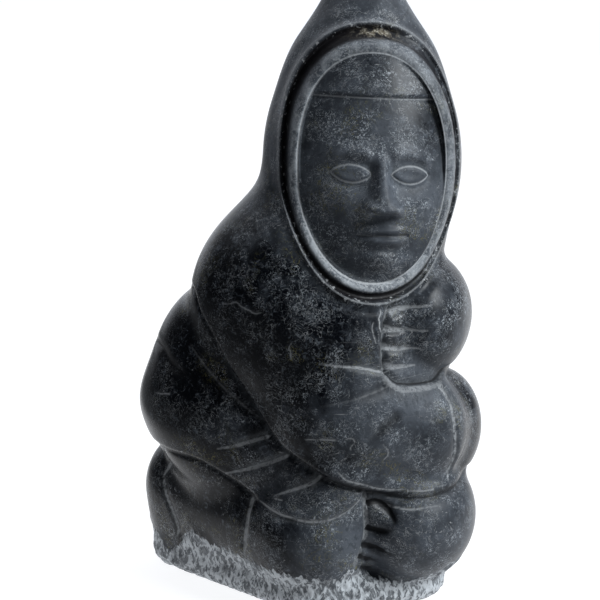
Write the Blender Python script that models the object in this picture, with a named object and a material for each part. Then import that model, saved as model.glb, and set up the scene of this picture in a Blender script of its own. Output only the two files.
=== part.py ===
"""Soapstone carving of a kneeling figure in a pointed parka hood, on a low bed of chiselled snow.

The whole work is one stone, so it is one closed solid. The carver's masses (hood, sleeve, hips,
legs and so on) are eggs and round-ended limbs, run together softly like worked stone. The solid's
skin is read off them along rays from an upright axis, and the folds, fingers, hood opening and
face are then cut into that skin. Lengths inside the functions are in parts of the height.
"""
import math

import bpy
import numpy as np

HEIGHT = 0.255                  # from the sawn underside to the tip of the hood
PARTS = 255                     # the figure is measured in this many parts of its height
NAME = "carved_figure"

# The bed of snow is a bank round the legs. Its top tilts, and it is heaped against the boot.
SNOW_TOP = 16.5                 # height of the snow under the middle
SNOW_TILT = 0.11                # how much it rises towards the figure's right
HEAP = (-50.0, 2.0, 7.0, 13.0)  # the heap: its place, height and width
SNOW_LEAN = 0.22                # how far its side leans out for each step down
SNOW_EDGE = 4.0                 # radius of its upper edge
UNDERCUT = (8.0, 7.0)           # how far and how high its foot rounds under
SNOW_BLEND = 16                 # how softly the banks of the two legs run together
SAW_WASTE = 3.0                 # stone below the underside, taken off by the saw cut

# The hood's opening is three upright ovals, seen from in front of the face: the rim, the groove
# and the edge of the lining. Each has its middle across and up, and half its width and height.
HOOD_AXIS = (20.0, 0.0)         # where the head's upright axis stands
FACE_BEARING = math.radians(8)  # the face looks a little to the figure's left of -Y
RIM = (-1.0, 174.0, 34.5, 52.0)
GROOVE = (-1.0, 174.0, 33.2, 47.0)
LINING = (-1.8, 173.0, 28.3, 42.0)
ROUND = 2.2                     # 2 would be a true ellipse
RIM_RISE = 0.8                  # how far the rim stands up
GROOVE_DEPTH = 1.9
ROLL_RISE = 1.7                 # how far the roll inside the groove comes back up

# The face: a calm one on the usual thirds, from the fringe of hair down to the chin.
FRINGE = 199.0
CHIN = 133.0
THIRD = (FRINGE - CHIN) / 3
BROW, EYES = FRINGE - THIRD, FRINGE - 1.3 * THIRD
NOSE, LIPS = CHIN + THIRD, CHIN + THIRD * 2 / 3
EYE_APART, EYE_LONG = 11.2, 7.4
HEAD_LEAN = 0.045               # the head leans a touch to its left

# The mesh that the rays make, and the facets that are left of it.
ROWS = 200
CROWN_ROWS = 14
COLUMNS = 272
CROWN = 235.0                   # above this height the rays fan up to the hood's tip
FACETS = 9500

# Each mass has its shape, its measures, and how softly it runs into the ones above it in the list.
# An egg has a centre and three radii; a limb has two ends and the radius at each.
UPPER = [
    ("egg", (19.7, 0, 172.5), (39.2, 45, 55), 1),          # hood
    ("limb", (20, 3, 208), (20, 4, 245), 26.6, 10, 12),    # its point
    ("egg", (11.5, -2, 114), (36.5, 44, 50), 16),          # chest
    ("egg", (-8, 2, 120), (36.5, 38, 38), 20),             # right shoulder
    ("limb", (-10, -6, 114), (11, -22, 79), 34, 29.5, 18),  # right upper arm
    ("limb", (12, -24, 73), (38, -21, 69), 26, 23, 14),    # right forearm
    ("limb", (12, 16, 130), (10, 26, 74), 32, 36, 20),     # back
]
LEFT_ARM = [
    ("egg", (40.5, -8, 111), (21.5, 29, 26.5), 1),         # hand and forearm
    ("limb", (40, 4, 112), (22, 16, 126), 23, 22, 8),      # upper arm
]
RIGHT_HAND = [("egg", (51, 0, 65.5), (17.5, 25, 23), 1)]
MIDDLE = [
    ("egg", (-18, 12, 97), (43.3, 38, 31), 1),             # waist
    ("egg", (-20, 14, 73.5), (50.7, 46, 31), 16),          # hips
    ("limb", (-20, 8, 62), (10, -20, 52), 38, 30, 14),     # skirt of the parka
]
LEGS = [
    ("limb", (1, -25, 30), (-44.5, 27, 32.5), 27.5, 25.5, 1),  # right knee, shin and boot
    ("egg", (38, -13, 33), (27.5, 35, 28), 3),             # left knee
    ("limb", (34, 0, 28), (-10, 38, 28), 26, 24, 10),      # left shin
]
SNOW_PLAN = [((4.5, -22.5), (-42, 27), 22.5, 22.5), ((30, -13), (-8, 34), 21, 20)]

# Each cut has its depth, its half width, how much the stone steps down beside it and how far that
# step reaches, how much of its length fades in and out, and the points of its course. A point is a
# bearing in degrees about the axis (0 is -Y, 90 is +X) and a height. The step falls on the right
# hand of the course, and on the left hand where it is below 0.
CUTS = [
    # lower edge of the right sleeve, from behind the shoulder down and across to the hand
    (1.7, 1.2, 2.4, 6, 0.12, 0.12, [
        (-92, 124), (-77, 122.5), (-69, 115), (-61.5, 107.5), (-53.5, 94.5), (-40, 82), (-23, 68.5),
        (-8, 61.5), (7, 55), (19.5, 51.5), (36, 48), (55, 48), (76, 50), (98, 53)]),
    # second line along the sleeve, and the fold behind it
    (0.5, 0.8, 0.5, 3, 0.3, 0.3, [(-74.5, 101.5), (-64, 93), (-51.5, 84.5), (-32, 74)]),
    (1.2, 2.2, 0.8, 4, 0.2, 0.5, [(-104, 99), (-88, 97.5), (-79.5, 93), (-71.5, 90), (-60, 84)]),
    # hem of the parka, round the back to the right hip and on over the right knee
    (1.4, 1.1, 2.2, 5, 0.05, 0.1, [
        (100, 52), (130, 56), (190, 62), (250, 62), (269, 58), (282, 57), (296, 56.5), (304.5, 53),
        (314, 49), (323.5, 45.5), (333, 43)]),
    (0.9, 0.9, 1.6, 4, 0.15, 0.03, [(-30, 44), (-18, 41.5), (-10, 40.5), (-1, 39.5), (7.5, 40),
                                    (16, 43), (21.5, 47.5), (23.5, 50.5)]),
    # three folds above the hem
    (1.0, 1.0, 1.2, 5, 0.15, 0.35, [(-27.5, 69.5), (-34.5, 67.5), (-43.5, 64.5), (-52.5, 62.5)]),
    (1.1, 1.0, 1.4, 5, 0.1, 0.3, [(-15, 63), (-27, 58.5), (-38.5, 55), (-52.5, 52)]),
    (1.1, 1.0, 1.4, 5, 0.1, 0.3, [(2, 56.5), (-2, 53.5), (-11.5, 50), (-21, 46.5)]),
    # end of the right sleeve, in front of the right hand
    (0.9, 1.0, 1.2, 4, 0.15, 0.15, [(49.5, 91), (54.5, 87), (56, 82), (55.5, 75.5), (56, 67.5),
                                    (59.5, 56.5), (57, 50)]),
    # creases that fan out from the inside of the right elbow
    (0.9, 1.2, 0.9, 5, 0.05, 0.6, [(23, 96), (11.5, 98.5), (2.5, 99.5), (-9.5, 100.5)]),
    (1.3, 2.4, 1.0, 6, 0.1, 0.7, [(24.5, 91.5), (17.5, 89.5), (9.5, 87.5), (-4.5, 84.5)]),
    (1.1, 2.2, 0.6, 6, 0.2, 0.5, [(32, 81.5), (24, 75.5), (16.5, 67)]),
    # left hand: its finger ends, and the hollow under it
    (1.6, 1.5, -1.4, 4, 0.1, 0.05, [(22, 123.5), (18.5, 118), (18, 113), (19, 106), (21, 99.5),
                                    (24, 95)]),
    (1.9, 1.4, -1.2, 5, 0.05, 0.1, [(22, 98), (26.5, 93.5), (32.5, 91.5), (49.5, 90.5), (64, 91),
                                    (98, 94)]),
    # boot: its top edge, its sole, and the nick over the heap of snow
    (1.0, 1.4, 0.7, 5, 0.05, 0.2, [(-36, 44), (-36, 37.5), (-36.5, 31.5), (-40.5, 18.5)]),
    (0.8, 1.1, -0.8, 4, 0.1, 0.1, [(-81, 56.5), (-92, 48), (-96, 35.5), (-92.5, 29.5), (-90, 26),
                                   (-92, 19.5), (-94, 15)]),
    (0.9, 1.0, 0.0, 4, 0.2, 0.2, [(-81, 23), (-86, 20), (-93, 15.5)]),
    # valley between the legs, and the creases that run from it into the left knee
    (1.7, 1.3, 0.6, 4, 0.05, 0.1, [(23.5, 50), (24, 43), (25.5, 35.5), (25, 30.5), (22.5, 24.5),
                                   (19.5, 18)]),
    (2.6, 1.7, 0.0, 3, 0.02, 0.25, [(24.5, 44), (29, 45), (32.5, 43), (34, 38.5), (33, 35.5)]),
    (0.9, 0.8, -0.5, 3, 0.1, 0.4, [(31, 44), (36, 43.5), (39.5, 43), (44, 43.5), (50, 43.5)]),
    (2.1, 1.4, 0.0, 3, 0.02, 0.4, [(25.5, 34.8), (29.5, 33.6), (33.5, 34.5)]),
    (1.8, 1.5, 0.0, 3, 0.02, 0.5, [(24, 28.5), (30, 26), (35, 24)]),
    (1.5, 1.3, 0.0, 3, 0.02, 0.5, [(22.5, 23.5), (28.5, 21), (33, 20)]),
    (1.1, 1.1, 0.0, 3, 0.02, 0.5, [(23, 19), (30, 16.5), (36, 15)]),
]
# each gap between fingers opens at the finger ends and runs out along the back of the hand
FINGER_GAP = (2.6, 2.2, 0.0, 3, 0.01, 0.85)
FINGER_COURSES = [[(21, 118), (29.5, 119.5), (42, 120.2)], [(18, 113), (26.5, 111.5), (41, 110.5)],
                  [(19.3, 106), (28, 104.5), (41, 103.5)], [(21, 99.5), (28.5, 98), (41, 97)]]


def ramp(x, low, high):
    """Smooth rise from 0 at low to 1 at high."""
    t = np.clip((x - low) / (high - low), 0, 1)
    return t * t * (3 - 2 * t)


def bump(x, width):
    return np.exp(-(x / width) ** 2)


def egg(p, centre, radii):
    """Near distance from an ellipsoid: how far out p is in radii, set back by its steepness."""
    q = p - np.array(centre, float)
    out = np.linalg.norm(q / radii, axis=-1)
    steep = np.linalg.norm(q / np.square(radii), axis=-1)
    return out * (out - 1) / np.maximum(steep, 1e-6)


def limb(p, start, end, start_radius, end_radius):
    """Distance from the hull of two balls, measured square to its slanting side."""
    start = np.array(start, float)
    way = np.array(end, float) - start
    length = np.linalg.norm(way)
    along = (p - start) @ (way / length)
    beside = np.sqrt(np.maximum(((p - start) ** 2).sum(-1) - along**2, 0))
    slope = (start_radius - end_radius) / length
    foot = np.clip(along - beside * slope / math.sqrt(1 - slope**2), 0, length)
    return np.hypot(along - foot, beside) - (start_radius - slope * foot)


def run_together(a, b, soft):
    """The nearer of two masses, with the corner between them filled by a parabola soft wide."""
    fill = np.maximum(soft - np.abs(a - b), 0) / soft
    return np.minimum(a, b) - fill**2 * soft / 4


def mass(p, rows):
    shapes = {"egg": egg, "limb": limb}
    whole = shapes[rows[0][0]](p, *rows[0][1:-1])
    for kind, *measures, soft in rows[1:]:
        whole = run_together(whole, shapes[kind](p, *measures), soft)
    return whole


def snow(p):
    """A bank over the plan of the two legs. Its side leans outwards down to a lower edge that rounds
    under as a quarter of an ellipse."""
    flat, z = p[..., :2], p[..., 2]
    legs = [limb(flat, *plan) for plan in SNOW_PLAN]
    heap_x, heap_y, heap_high, heap_wide = HEAP
    heap = heap_high * bump(np.hypot(p[..., 0] - heap_x, p[..., 1] - heap_y), heap_wide)
    top = SNOW_TOP - SNOW_TILT * p[..., 0] + heap
    inset, high = UNDERCUT
    under = 1 - np.sqrt(1 - np.clip(1 - z / high, 0, 1) ** 2)
    side = run_together(legs[0], legs[1], SNOW_BLEND) - SNOW_LEAN * (SNOW_TOP - z) + inset * under
    both = np.stack([side, z - top]) + SNOW_EDGE
    return np.minimum(both.max(0), 0) + np.linalg.norm(np.maximum(both, 0), axis=0) - SNOW_EDGE


def stone(p):
    """Distance from the uncut block: soft inside a garment, crisper where two of them meet."""
    whole = run_together(mass(p, UPPER), mass(p, LEFT_ARM), 3)
    whole = run_together(whole, mass(p, RIGHT_HAND), 4)
    whole = run_together(whole, mass(p, MIDDLE), 5)
    whole = run_together(whole, mass(p, LEGS), 5)
    return run_together(whole, snow(p), 2.5)


def ray_starts(heights):
    """The axis the rays leave from: over the middle of the base low down, in the head higher up."""
    share = ramp(heights, 40, 160)
    return np.stack([HOOD_AXIS[0] * share, HOOD_AXIS[1] * share, heights], -1)


def skin(starts, ways):
    """Where rays leave the stone: from outside, step in by most of the distance left, many times."""
    reach = np.full(ways.shape[:-1], 95.0)
    for step in range(42):
        gap = stone(starts + ways * reach[..., None])
        reach = np.maximum(reach - gap * (0.9 if step < 16 else 0.65), 0.5)
    return starts + ways * reach[..., None]


def ray_ways(bearings, lifts):
    """Directions for bearings about the axis, lifted above the level."""
    return np.stack([np.sin(bearings) * np.cos(lifts), -np.cos(bearings) * np.cos(lifts),
                     np.sin(lifts) + 0 * bearings], -1)


def course(points, count=48):
    """A smooth curve through the points of a cut, laid on the stone."""
    ends = np.array(points, float)
    hull = np.vstack([2 * ends[0] - ends[1], ends, 2 * ends[-1] - ends[-2]])
    t = np.linspace(0, len(points) - 1 - 1e-6, count)
    i = t.astype(int)
    f = (t - i)[:, None]
    a, b, c, d = hull[i], hull[i + 1], hull[i + 2], hull[i + 3]
    route = b + 0.5 * ((c - a) * f + (2 * a - 5 * b + 4 * c - d) * f**2 + (3 * b - a - 3 * c + d) * f**3)
    return skin(ray_starts(route[:, 1]), ray_ways(np.radians(route[:, 0]), np.zeros(count)))


def beside_course(p, outward, path):
    """For points near a path: which they are, how far off, how far along, and on which hand."""
    reach = 12
    near = np.all((p > path.min(0) - reach) & (p < path.max(0) + reach), -1)
    q, out = p[near], outward[near]
    gap = np.full(len(q), np.inf)
    along = np.zeros(len(q))
    hand = np.zeros(len(q))
    for i, way in enumerate(np.diff(path, axis=0)):
        t = np.clip((q - path[i]) @ way / (way @ way), 0, 1)
        off = q - path[i] - t[:, None] * way
        size = np.linalg.norm(off, axis=1)
        closer = size < gap
        gap = np.where(closer, size, gap)
        along = np.where(closer, (i + t) / (len(path) - 1), along)
        hand = np.where(closer, (np.cross(way, off) * out).sum(1), hand)
    return near, gap, along, hand


def cut_lines(p, outward):
    """How far each point of the skin moves out (or in, below 0) for the folds and fingers."""
    gaps = [(*FINGER_GAP, points) for points in FINGER_COURSES]
    move = np.zeros(p.shape[:-1])
    for depth, width, step, reach, fade_in, fade_out, points in CUTS + gaps:
        near, gap, along, hand = beside_course(p, outward, course(points))
        fade = ramp(along, 0, fade_in) * (1 - ramp(along, 1 - fade_out, 1))
        width = width * (0.35 + 0.65 * fade)
        low_side = hand * np.sign(step) <= 0
        lap = abs(step) * np.where(low_side, -1.0, 0.35) * np.exp(-1.6 * gap / reach) * ramp(gap, 0, 0.8)
        move[near] += (lap - depth * bump(gap, width)) * fade
    return move


def inside(oval, s, z):
    """Gap from an oval, above 0 inside it: one less the oval's size at the point, over its slope."""
    middle, mid_height, half_wide, half_tall = oval
    u, v = np.abs(s - middle) / half_wide, np.abs(z - mid_height) / half_tall
    size = (u**ROUND + v**ROUND + 1e-12) ** (1 / ROUND)
    slope = np.hypot((u / size) ** (ROUND - 1) / half_wide, (v / size) ** (ROUND - 1) / half_tall)
    return (1 - size) / np.maximum(slope, 1e-4)


def face(s, z):
    """How far the face stands in front of the head's axis: a barrel, plus a bell for each feature."""
    side = np.abs(s)
    d = 42.0 - 0.0047 * np.clip(z - 158, 0, None) ** 2 - 0.0022 * np.clip(158 - z, 0, None) ** 2
    d = d - s**2 / 66 + 1.4 * ramp(z, FRINGE - 0.6, FRINGE + 0.6)
    arch = BROW + 1.2 - 0.035 * (side - 9) ** 2
    d = d + 1.3 * bump(z - arch, 2.6) * ramp(side, 2, 6) * (1 - ramp(side, 16, 21))
    d = d - 2.8 * bump(side - 10.8, 7.5) * bump(z - EYES, 4.6)
    ball = 1 - ((side - EYE_APART) / EYE_LONG) ** 2 - ((z - EYES) / 4.2) ** 2
    d = d + 2.6 * np.sqrt(np.clip(ball, 0, 1))
    down = np.clip((BROW - z) / (BROW - NOSE), 0, 1)
    bridge = np.exp(-(side / (2.6 + 3 * down**1.4)) ** 2.6)
    d = d + (1.6 + 6.6 * down**1.1) * bridge * ramp(BROW + 3 - z, 0, 6) * ramp(z, NOSE - 0.5, NOSE + 2.5)
    d = d + 3.4 * bump(side - 5.4, 2.7) * bump(z - NOSE - 3, 2.9)
    d = d - 1.1 * bump(side - 3, 1.3) * bump(z - NOSE - 0.4, 1.0)
    d = d + 1.5 * bump(side - 13.5, 7.5) * bump(z - NOSE - 4, 8)
    d = d + 1.6 * bump(side, 12) * bump(z - LIPS, 6.5)
    d = d + 1.5 * np.exp(-(side / 9.2) ** 4) * bump(z - LIPS - 1.9, 1.5)
    d = d + 1.8 * np.exp(-(side / 7.6) ** 4) * bump(z - LIPS + 2.1, 1.7)
    d = d - 1.3 * bump(z - LIPS, 0.7) * ramp(11 - side, 0, 2.5)
    d = d - 0.9 * bump(side, 8) * bump(z - LIPS + 5.6, 1.8)
    return d + 2.4 * bump(side, 7.5) * bump(z - CHIN - 5.3, 4.2)


def open_hood(p, outward):
    """Cut the hood's rim, the groove inside it and the roll beyond, and set the face in the opening."""
    ahead = np.array([math.sin(FACE_BEARING), -math.cos(FACE_BEARING), 0])
    across = np.array([math.cos(FACE_BEARING), math.sin(FACE_BEARING), 0])
    from_axis = p - np.array([*HOOD_AXIS, 0])
    s, z = from_axis @ across, p[..., 2]
    rim_gap, groove_gap, lining_gap = [inside(oval, s, z) for oval in (RIM, GROOVE, LINING)]
    front = ramp(from_axis @ ahead, 2, 10)
    facing = np.clip(outward @ ahead, 0.45, 1)
    fall = np.clip(rim_gap / np.maximum(rim_gap - groove_gap, 0.3), 0, 1)
    raised = RIM_RISE * bump(rim_gap, 0.8) - 0.5 * bump(rim_gap + 2.6, 1.6)
    sunk = ROLL_RISE * ramp(groove_gap, 0.3, 2.2) - GROOVE_DEPTH * ramp(fall, 0.1, 1.0)
    p = p + outward * (raised * front)[..., None]
    p = p + ahead * (sunk / facing * front)[..., None]
    depth = (p - np.array([*HOOD_AXIS, 0])) @ ahead
    skin_share = ramp(lining_gap, 0.2, 1.2) * front
    return p + ahead * ((face(s, z + HEAD_LEAN * s) - depth) * skin_share)[..., None]


def outward_of(p):
    """Normals of a grid that is closed around and runs upwards."""
    around = np.roll(p, -1, 1) - np.roll(p, 1, 1)
    normal = np.cross(around, np.gradient(p, axis=0))
    return normal / np.maximum(np.linalg.norm(normal, axis=-1, keepdims=True), 1e-9)


def carved_skin():
    """The carved figure as a grid of points: rows upwards, columns around, and a last row at the tip."""
    heights = np.append(np.linspace(-SAW_WASTE, CROWN, ROWS), np.full(CROWN_ROWS, CROWN))
    lifts = np.append(np.zeros(ROWS), np.radians(np.linspace(0, 88, CROWN_ROWS + 1)[1:]))
    bearings = np.linspace(0, 2 * math.pi, COLUMNS, endpoint=False)
    p = skin(ray_starts(heights)[:, None, :], ray_ways(bearings[None, :], lifts[:, None]))
    outward = outward_of(p)
    p = p + outward * cut_lines(p, outward)[..., None]
    return open_hood(p, outward)


def closed_mesh(name, grid):
    """A mesh over the grid, closed by one point at the tip and one flat face below."""
    rows, columns, _ = grid.shape
    tip = grid[-1].mean(0)
    tip[2] = grid[-1][:, 2].max()
    points = np.vstack([grid.reshape(-1, 3), tip]) * (HEIGHT / PARTS)
    faces = []
    for i in range(rows - 1):
        for j in range(columns):
            k = (j + 1) % columns
            low, high = i * columns, (i + 1) * columns
            faces.append((low + j, low + k, high + k, high + j))
    last = (rows - 1) * columns
    faces += [(last + j, last + (j + 1) % columns, len(points) - 1) for j in range(columns)]
    faces.append(tuple(reversed(range(columns))))
    mesh = bpy.data.meshes.new(name)
    mesh.from_pydata(points.tolist(), [], faces)
    return mesh


def saw_block():
    """The waste under the figure, as a cutter whose top is the flat underside."""
    side = HEIGHT
    bpy.ops.mesh.primitive_cube_add(size=side, location=(0, 0, -side / 2))
    block = bpy.context.object
    block.name = "saw_block"
    block.hide_render = True
    block.display_type = "WIRE"
    return block


def soapstone():
    material = bpy.data.materials.new("soapstone")
    material.use_nodes = True
    shader = material.node_tree.nodes["Principled BSDF"]
    shader.inputs["Base Color"].default_value = (0.045, 0.050, 0.056, 1)
    shader.inputs["Roughness"].default_value = 0.38
    shader.inputs["Metallic"].default_value = 0.0
    return material


def stand_on_origin(figure):
    """Move the mesh so that the middle of its bounding box, at the underside, is the origin."""
    corners = np.array([v.co for v in figure.data.vertices])
    middle = (corners.min(0) + corners.max(0)) / 2
    for vertex in figure.data.vertices:
        vertex.co.x -= middle[0]
        vertex.co.y -= middle[1]


def carve():
    figure = bpy.data.objects.new(NAME, closed_mesh(NAME, carved_skin()))
    bpy.context.collection.objects.link(figure)
    figure.data.materials.append(soapstone())
    facets = figure.modifiers.new("facets", "DECIMATE")
    triangles = 2 * (ROWS + CROWN_ROWS) * COLUMNS
    facets.ratio = FACETS / triangles
    block = saw_block()
    saw = figure.modifiers.new("saw cut", "BOOLEAN")
    saw.operation = "DIFFERENCE"
    saw.solver = "EXACT"
    saw.object = block
    view = bpy.context.evaluated_depsgraph_get()
    finished = bpy.data.meshes.new_from_object(figure.evaluated_get(view))
    figure.modifiers.clear()
    figure.data = finished
    finished.name = NAME
    bpy.data.objects.remove(block)
    stand_on_origin(figure)
    finished.shade_smooth()
    finished.set_sharp_from_angle(angle=math.radians(50))
    return figure


for old in list(bpy.data.objects):
    bpy.data.objects.remove(old)
carve()
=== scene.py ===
"""The looks of a soapstone carving: a kneeling figure in a pointed parka hood, on a bed of snow.

One block of stone, so one piece: its form, the folds and face cut into it, its chiselled foot and
its polished, dusty skin. Lengths inside the sections are in parts of the figure's height, which
is 255 of them.
"""
import math

import bpy
import numpy as np
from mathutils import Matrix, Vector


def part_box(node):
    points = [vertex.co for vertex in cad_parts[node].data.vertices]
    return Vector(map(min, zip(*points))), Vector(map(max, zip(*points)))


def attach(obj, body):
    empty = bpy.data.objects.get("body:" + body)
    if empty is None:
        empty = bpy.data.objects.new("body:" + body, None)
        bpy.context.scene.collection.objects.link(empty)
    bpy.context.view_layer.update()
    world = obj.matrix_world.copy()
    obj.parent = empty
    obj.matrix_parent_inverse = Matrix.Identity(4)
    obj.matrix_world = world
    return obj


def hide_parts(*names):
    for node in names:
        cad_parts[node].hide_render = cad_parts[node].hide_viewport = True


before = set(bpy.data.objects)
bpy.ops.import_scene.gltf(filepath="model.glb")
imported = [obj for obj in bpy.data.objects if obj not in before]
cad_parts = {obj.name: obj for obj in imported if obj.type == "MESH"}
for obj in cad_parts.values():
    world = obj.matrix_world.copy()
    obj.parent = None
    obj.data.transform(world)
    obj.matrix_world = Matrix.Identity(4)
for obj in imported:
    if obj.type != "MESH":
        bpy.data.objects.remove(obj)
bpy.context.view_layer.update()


# The stone's masses. The carver blocks out hood, sleeve, hips, legs and snow as full rounded forms
# in one dark soapstone block, runs them softly together, and sharpens only the garment edges.

HOOD_AXIS = (20.0, 0.0)         # where the head's upright axis stands
SNOW_TOP = 16.5                 # height of the snow under the middle
SNOW_TILT = 0.11                # how much it rises towards the figure's right
HEAP = (-50.0, 2.0, 7.0, 13.0)  # a heap against the boot: its place, height and width
SNOW_LEAN = 0.22                # how far its side leans out for each part down
SNOW_ROUND = 4.0                # radius of its upper edge
SNOW_FILL = 16.0                # how softly the banks under the two legs run together
UNDERCUT = (8.0, 7.0)           # how far and how high the foot rounds under

# an egg has a centre and three radii, a limb has two ends and their radii, and the last number of
# each says how softly it runs into the ones above it
UPPER = [
    ("egg", (19.7, 0, 172.5), (39.2, 45, 55), 1),          # hood
    ("limb", (20, 3, 208), (20, 4, 245), 26.6, 10, 12),    # its point
    ("egg", (11.5, -2, 114), (36.5, 44, 50), 16),          # chest
    ("egg", (-8, 2, 120), (36.5, 38, 38), 20),             # right shoulder
    ("limb", (-10, -6, 114), (11, -22, 79), 34, 29.5, 18),  # right upper arm
    ("limb", (12, -24, 73), (38, -21, 69), 26, 23, 14),    # right forearm
    ("limb", (12, 16, 130), (10, 26, 74), 32, 36, 20),     # back
]
LEFT_ARM = [
    ("egg", (40.5, -8, 111), (21.5, 29, 26.5), 1),         # hand and forearm
    ("limb", (40, 4, 112), (22, 16, 126), 23, 22, 8),      # upper arm
]
RIGHT_HAND = [("egg", (51, 0, 65.5), (17.5, 25, 23), 1)]
MIDDLE = [
    ("egg", (-18, 12, 97), (43.3, 38, 31), 1),             # waist
    ("egg", (-20, 14, 73.5), (50.7, 46, 31), 16),          # hips
    ("limb", (-20, 8, 62), (10, -20, 52), 38, 30, 14),     # skirt of the parka
]
LEGS = [
    ("limb", (1, -25, 30), (-44.5, 27, 32.5), 27.5, 25.5, 1),  # right knee, shin and boot
    ("egg", (38, -13, 33), (27.5, 35, 28), 3),             # left knee
    ("limb", (34, 0, 28), (-10, 38, 28), 26, 24, 10),      # left shin
]
# each later group, and how softly it runs into the ones before it
GROUPS = [(LEFT_ARM, 3), (RIGHT_HAND, 4), (MIDDLE, 5), (LEGS, 5)]
# the banks under the right and the left leg, seen from above
SNOW_PLAN = [((4.5, -22.5), (-42, 27), 22.5, 22.5), ((30, -13), (-8, 34), 21, 20)]


def ramp(x, low, high):
    """Smooth rise from 0 at low to 1 at high: t squared times (3 less 2t)."""
    t = np.clip((x - low) / (high - low), 0, 1)
    return t * t * (3 - 2 * t)


def bump(x, width):
    """A bell: e to the minus (x over width) squared."""
    return np.exp(-(x / width) ** 2)


def egg(p, centre, radii):
    """Near distance from an ellipsoid: how far out p is in radii, set back by its steepness."""
    q = p - np.array(centre, float)
    out = np.linalg.norm(q / radii, axis=-1)
    steep = np.linalg.norm(q / np.square(radii), axis=-1)
    return out * (out - 1) / np.maximum(steep, 1e-6)


def limb(p, start, end, start_radius, end_radius):
    """Distance from the hull of two balls, measured square to its slanting side."""
    start = np.array(start, float)
    way = np.array(end, float) - start
    length = np.linalg.norm(way)
    along = (p - start) @ (way / length)
    beside = np.sqrt(np.maximum(((p - start) ** 2).sum(-1) - along**2, 0))
    slope = (start_radius - end_radius) / length
    foot = np.clip(along - beside * slope / math.sqrt(1 - slope**2), 0, length)
    return np.hypot(along - foot, beside) - (start_radius - slope * foot)


def run_together(a, b, soft):
    """The nearer of two masses, with the corner between them filled by a parabola soft wide."""
    fill = np.maximum(soft - np.abs(a - b), 0) / soft
    return np.minimum(a, b) - fill**2 * soft / 4


def mass(p, rows):
    """Distance from one group: its masses run together one after the other."""
    shapes = {"egg": egg, "limb": limb}
    whole = shapes[rows[0][0]](p, *rows[0][1:-1])
    for kind, *measures, soft in rows[1:]:
        whole = run_together(whole, shapes[kind](p, *measures), soft)
    return whole


def figure(p):
    """Distance from the figure without its snow: soft inside a garment, crisper between two."""
    whole = mass(p, UPPER)
    for rows, soft in GROUPS:
        whole = run_together(whole, mass(p, rows), soft)
    return whole


def snow(p):
    """A bank over the plan of the two legs. Its top tilts and has one heap, its side leans outwards
    down to a lower edge that rounds under as a quarter of an ellipse."""
    flat, z = p[..., :2], p[..., 2]
    legs = [limb(flat, *plan) for plan in SNOW_PLAN]
    heap_x, heap_y, heap_high, heap_wide = HEAP
    heap = heap_high * bump(np.hypot(p[..., 0] - heap_x, p[..., 1] - heap_y), heap_wide)
    top = SNOW_TOP - SNOW_TILT * p[..., 0] + heap
    inset, high = UNDERCUT
    under = 1 - np.sqrt(1 - np.clip(1 - z / high, 0, 1) ** 2)
    side = run_together(legs[0], legs[1], SNOW_FILL) - SNOW_LEAN * (SNOW_TOP - z) + inset * under
    both = np.stack([side, z - top]) + SNOW_ROUND
    return np.minimum(both.max(0), 0) + np.linalg.norm(np.maximum(both, 0), axis=0) - SNOW_ROUND


# The stone's skin is found with rays that come in towards an upright axis.
AXIS_SHIFT = (40.0, 160.0)      # between these heights the axis moves from the foot into the head
OUTSIDE = 95.0                  # further from the axis than any of the stone
STRIDES = [0.9] * 16 + [0.65] * 26      # how much of the distance left each step takes
SNOW_JOIN = 2.5                 # how softly the snow meets the legs
BOOT_JOIN = 9.0                 # how much softer it is between these places left of the middle
BOOT_SIDE = (28, 48)


def ray_starts(heights):
    """The axis the rays leave from: over the middle of the foot low down, in the head higher up."""
    share = ramp(heights, *AXIS_SHIFT)
    return np.stack([HOOD_AXIS[0] * share, HOOD_AXIS[1] * share, heights], -1)


def ray_ways(bearings, lifts):
    """Directions for bearings about the axis, lifted above the level: the sine and cosine of each.
    0 is -Y and a quarter turn is +X."""
    return np.stack([np.sin(bearings) * np.cos(lifts), -np.cos(bearings) * np.cos(lifts),
                     np.sin(lifts) + 0 * bearings], -1)


def skin(starts, ways):
    """Where rays leave the stone: from outside, step in by most of the gap left, many times."""
    reach = np.full(ways.shape[:-1], OUTSIDE)
    for stride in STRIDES:
        p = starts + ways * reach[..., None]
        gap = run_together(figure(p), snow(p), SNOW_JOIN + BOOT_JOIN * ramp(-p[..., 0], *BOOT_SIDE))
        reach = np.maximum(reach - gap * stride, 0.5)
    return starts + ways * reach[..., None]


def outward_of(p):
    """Normals of a grid that is closed around and runs upwards: the cross of its two steps."""
    around = np.roll(p, -1, 1) - np.roll(p, 1, 1)
    normal = np.cross(around, np.gradient(p, axis=0))
    return normal / np.maximum(np.linalg.norm(normal, axis=-1, keepdims=True), 1e-9)


# Rows lie closest over the face and the snow, and columns closest in front of the face. Each run of
# them goes from a height or a bearing to the next, in so many steps.
CROWN = 235.0                   # above this height the rays fan up to the hood's tip
CROWN_ROWS = 16
STEEPEST = 88                   # the last of them, in degrees above the level
ROW_RUNS = [(0, 14, 18), (14, 122, 100)]
FACE_ROWS = 158
COLUMN_RUNS = [(-100, -38, 64), (-38, 54, 154), (54, 92, 34), (92, 260, 88)]
heights = np.concatenate([*[np.linspace(*run, endpoint=False) for run in ROW_RUNS],
                          np.linspace(ROW_RUNS[-1][1], CROWN, FACE_ROWS),
                          np.full(CROWN_ROWS, CROWN)])
lifts = np.concatenate([np.zeros(len(heights) - CROWN_ROWS),
                        np.radians(np.linspace(0, STEEPEST, CROWN_ROWS + 1)[1:])])
bearings = np.radians(np.concatenate([np.linspace(*run, endpoint=False) for run in COLUMN_RUNS]))
block = skin(ray_starts(heights)[:, None, :], ray_ways(bearings[None, :], lifts[:, None]))
outward = outward_of(block)


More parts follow.
